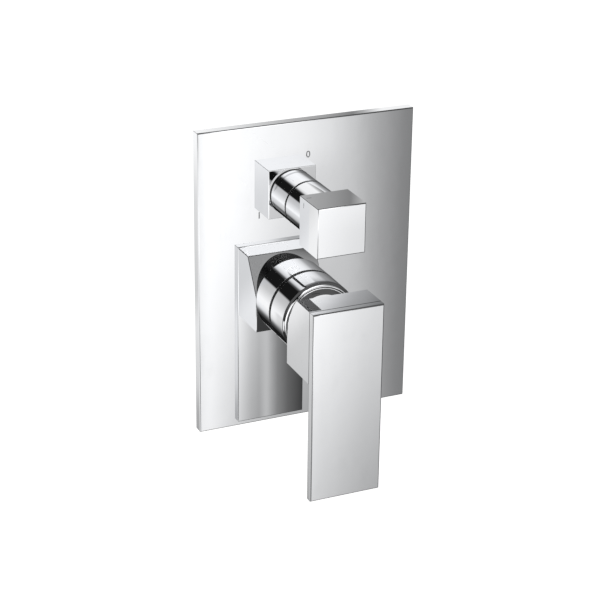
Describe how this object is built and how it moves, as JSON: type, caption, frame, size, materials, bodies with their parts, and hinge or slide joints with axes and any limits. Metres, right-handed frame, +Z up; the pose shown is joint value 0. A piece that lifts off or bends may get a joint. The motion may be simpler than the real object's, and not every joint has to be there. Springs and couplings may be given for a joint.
{
  "type": "tub valve trim set",
  "caption": "Chrome wall plate with a square-block mixer lever that lifts and swivels, and a cube diverter knob above it, for a tub or shower valve set in the wall",
  "frame": {"origin": "on the finished wall plane, at the middle of the wall plate", "axes": "+X to the right seen from the front, +Y into the wall, +Z up"},
  "size_m": [0.145, 0.1375, 0.2],
  "materials": {
    "chrome": "polished",
    "brass": "machined",
    "steel": "zinc plated",
    "black_rubber": "matte",
    "black_plastic": "satin",
    "grey_plastic": "moulded",
    "ceramic": "ground"
  },
  "bodies": {
    "base": {"wall_plate": "chrome", "plate_gasket": "black_rubber", "mounting_frame": "steel", "frame_grommets": "black_rubber", "raised_bar": "chrome", "mixer_flange_gasket": "black_rubber", "mixer_flange": "chrome", "mixer_housing": "brass", "mixer_cartridge": "grey_plastic", "cartridge_seals": "black_rubber", "fixed_disc": "ceramic", "cartridge_nut": "brass", "mixer_collar": "black_plastic", "mixer_sleeve": "chrome", "dome_ring": "black_plastic", "mixer_dome": "chrome", "mouth_ring": "chrome", "diverter_flange_gasket": "black_rubber", "diverter_flange": "chrome", "diverter_housing": "brass", "diverter_cartridge": "grey_plastic", "diverter_fixed_disc": "ceramic", "diverter_nut": "brass", "diverter_base_ring": "black_plastic", "diverter_sleeve": "chrome", "diverter_glide_ring": "black_plastic"},
    "mixer_swivel": {"cartridge_carrier": "grey_plastic", "carrier_pin": "steel"},
    "disc_slide": {"disc_holder": "grey_plastic", "sliding_disc": "ceramic"},
    "mixer_lever": {"lever_stem": "brass", "ball_cap": "chrome", "lever_block": "chrome", "lever_blade": "chrome", "lever_set_screw": "steel", "lever_plug": "chrome"},
    "diverter_turn": {"diverter_spindle": "brass", "diverter_turning_disc": "ceramic", "diverter_neck": "chrome", "diverter_knob": "chrome", "knob_set_screw": "steel"}
  },
  "joints": [
    {"name": "temperature_swivel", "type": "hinge", "parent": "base", "child": "mixer_swivel", "pos_m": [-0.026, -0.0775, 0.0029], "axis": [0, 1, 0], "range_deg": [-45, 45]},
    {"name": "flow_lift", "type": "hinge", "parent": "mixer_swivel", "child": "mixer_lever", "pos_m": [-0.026, -0.0775, 0.0029], "axis": [-1, 0, 0], "range_deg": [0, 18]},
    {"name": "disc_travel", "type": "slide", "parent": "mixer_swivel", "child": "disc_slide", "axis": [0, 0, -1], "range_m": [0, 0.0036]},
    {"name": "diverter_turn", "type": "hinge", "parent": "base", "child": "diverter_turn", "pos_m": [-0.02, -0.05, 0.0635], "axis": [0, 1, 0], "range_deg": [0, 180]}
  ],
  "couplings": [
    {"joint": "disc_travel", "follows": "flow_lift", "m_per_rad": 0.0113}
  ]
}
